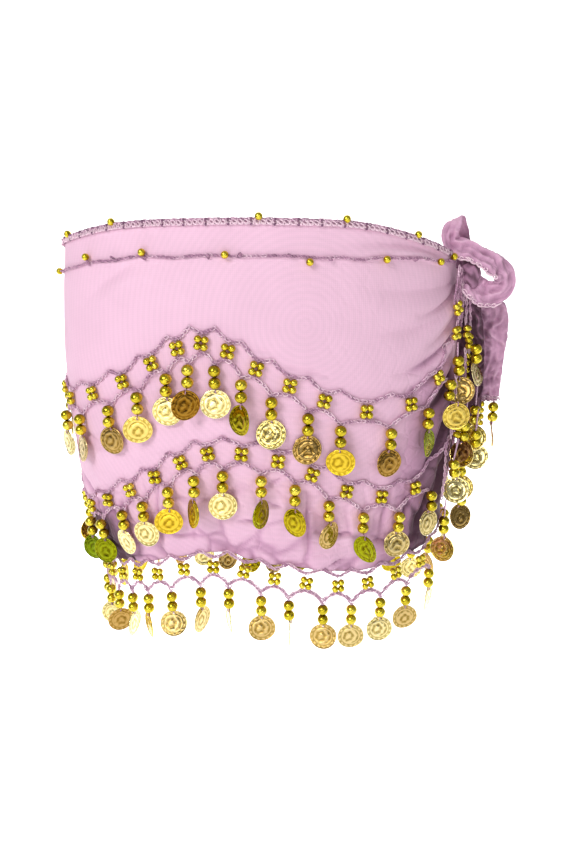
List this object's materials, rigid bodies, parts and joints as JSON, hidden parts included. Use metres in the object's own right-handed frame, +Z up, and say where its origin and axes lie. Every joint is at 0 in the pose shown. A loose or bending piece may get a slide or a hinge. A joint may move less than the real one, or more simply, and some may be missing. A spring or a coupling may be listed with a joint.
{
  "type": "belly dance hip scarf, worn",
  "caption": "Hollow worn hip scarf: a chiffon strip wound round the hips and knotted at one side, with crocheted edges and wavy rows of bead and coin fringe.",
  "frame": {"origin": "centre of the waist opening, level with the top edge at the middle of the front", "axes": "+Z up along the wearer's waist, the front faces -Y, +X is towards the wearer's left hip, where the knot is"},
  "size_m": [0.382, 0.2547, 0.3763],
  "materials": {
    "chiffon": "thin plain-woven chiffon, soft and matt, slightly crumpled towards the hem",
    "crochet_yarn": "twisted viscose yarn, crocheted, with a slight lustre",
    "gold_coin": "thin stamped metal, bright yellow plating",
    "gold_bead": "moulded plastic with a satin gold coat"
  },
  "bodies": {
    "root": {"wrap_front": "chiffon", "wrap_back": "chiffon", "knot": "chiffon", "bow_loop_upper": "chiffon", "bow_loop_side": "chiffon", "tail": "chiffon", "waist_braid_front": "crochet_yarn", "waist_braid_back": "crochet_yarn", "bead_line_front": "crochet_yarn", "bead_line_back": "crochet_yarn", "fringe_upper_front": "gold_coin", "fringe_upper_back": "gold_coin", "fringe_middle_front": "gold_coin", "fringe_middle_back": "gold_coin", "fringe_hem_front": "gold_coin", "fringe_hem_back": "gold_coin", "fringe_knot_side": "gold_bead", "tail_drops": "gold_bead"}
  },
  "joints": []
}
